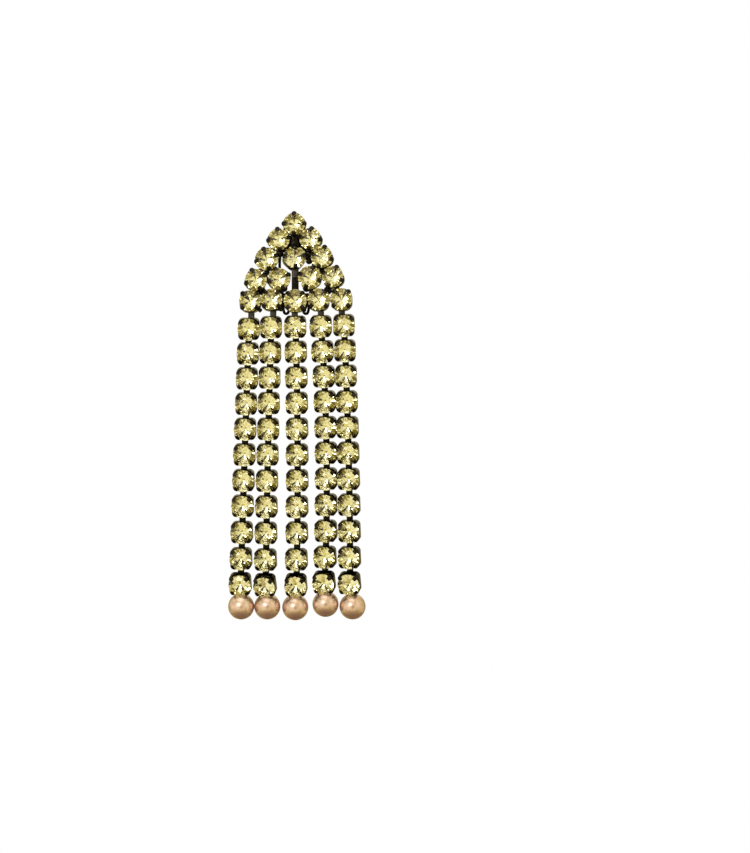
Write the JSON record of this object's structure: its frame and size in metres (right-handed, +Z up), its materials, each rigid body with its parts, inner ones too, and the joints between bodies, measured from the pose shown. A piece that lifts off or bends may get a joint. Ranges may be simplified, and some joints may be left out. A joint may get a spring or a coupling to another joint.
{
  "type": "chandelier earring",
  "caption": "Long clip-on chandelier earring: a pointed arch of claw-set round stones with hanging cup-chain strands that end in pearls.",
  "frame": {"origin": "middle of the ear lobe where the clip grips it, halfway between the arch's back and the clip's round end", "axes": "+Z up along the hanging strands, +X to the viewer's right, the stones face -Y and the clip is at +Y"},
  "size_m": [0.0323, 0.0101, 0.0962],
  "materials": {
    "gunmetal": "black gunmetal plating over brass, softly polished",
    "crystal": "cut crystal, pale jonquil yellow with foiled back",
    "cup_chain": "gunmetal cups that hold pale yellow foiled crystals",
    "pearl": "crystal pearl with bronze rose-gold nacre coating",
    "clip_wire": "spring wire, gunmetal plated"
  },
  "bodies": {
    "root": {"pavilion_frame": "gunmetal", "crystal_r1_1": "crystal", "crystal_r2_1": "crystal", "crystal_r2_2": "crystal", "crystal_r3_1": "crystal", "crystal_r3_2": "crystal", "crystal_r3_3": "crystal", "crystal_r4_1": "crystal", "crystal_r4_2": "crystal", "crystal_r4_3": "crystal", "crystal_r4_4": "crystal", "crystal_r5_1": "crystal", "crystal_r5_2": "crystal", "crystal_r5_3": "crystal", "crystal_r5_4": "crystal", "crystal_r5_5": "crystal", "strand_1": "cup_chain", "strand_2": "cup_chain", "strand_3": "cup_chain", "strand_4": "cup_chain", "strand_5": "cup_chain", "pearl_1": "pearl", "pearl_2": "pearl", "pearl_3": "pearl", "pearl_4": "pearl", "pearl_5": "pearl", "ear_clip": "clip_wire"}
  },
  "joints": []
}
